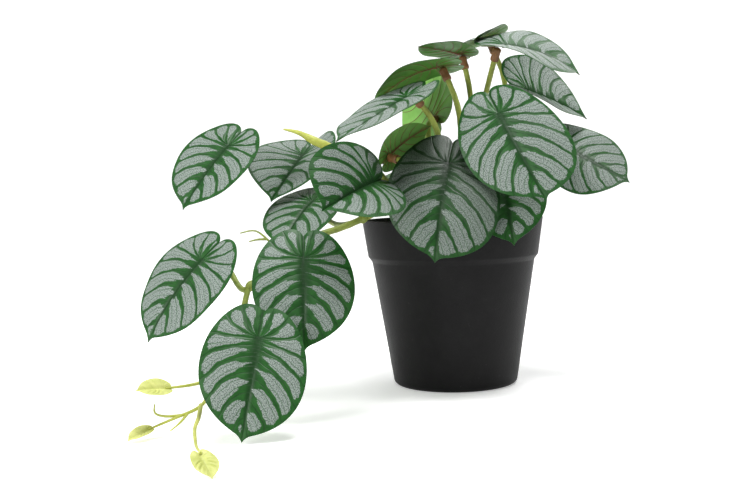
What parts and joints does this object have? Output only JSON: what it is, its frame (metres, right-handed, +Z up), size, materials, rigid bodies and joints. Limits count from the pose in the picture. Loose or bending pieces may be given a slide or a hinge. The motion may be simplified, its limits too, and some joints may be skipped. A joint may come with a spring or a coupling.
{
  "type": "potted trailing plant",
  "caption": "Artificial trailing houseplant with silver-patched, shield-shaped leaves on upright stems and a hanging vine, in a black nursery pot.",
  "frame": {"origin": "middle of the flat boss under the pot's foot, on the surface the pot stands on", "axes": "+Z up, +X to the right of the picture, +Y away from the picture's camera"},
  "size_m": [0.3014, 0.3281, 0.2412],
  "materials": {
    "pot_plastic": "fine matte",
    "filler": "coarse dark granules",
    "leaf": "satin, printed silver patches",
    "stem": "satin",
    "young_leaf": "satin"
  },
  "bodies": {
    "root": {"branch": "stem", "leaf_arching": "leaf", "leaf_back": "leaf", "leaf_back_left": "leaf", "leaf_back_right": "leaf", "leaf_branch_1": "leaf", "leaf_branch_2": "leaf", "leaf_crown_left": "leaf", "leaf_front_high": "leaf", "leaf_front_low": "leaf", "leaf_inner": "leaf", "leaf_long_left": "leaf", "leaf_right": "leaf", "leaf_right_high": "leaf", "leaf_rim_right": "leaf", "leaf_top": "leaf", "leaf_top_back": "leaf", "leaf_top_left": "leaf", "leaf_vine_1": "leaf", "leaf_vine_2": "leaf", "leaf_vine_3": "leaf", "leaf_vine_4": "leaf", "leaf_vine_5": "leaf", "pot": "pot_plastic", "soil": "filler", "stem_arching": "stem", "stem_back": "stem", "stem_back_left": "stem", "stem_back_right": "stem", "stem_crown_left": "stem", "stem_front_high": "stem", "stem_front_low": "stem", "stem_inner": "stem", "stem_long_left": "stem", "stem_right": "stem", "stem_right_high": "stem", "stem_rim_right": "stem", "stem_top": "stem", "stem_top_back": "stem", "stem_top_left": "stem", "vine": "stem", "young_shoots": "young_leaf"}
  },
  "joints": []
}
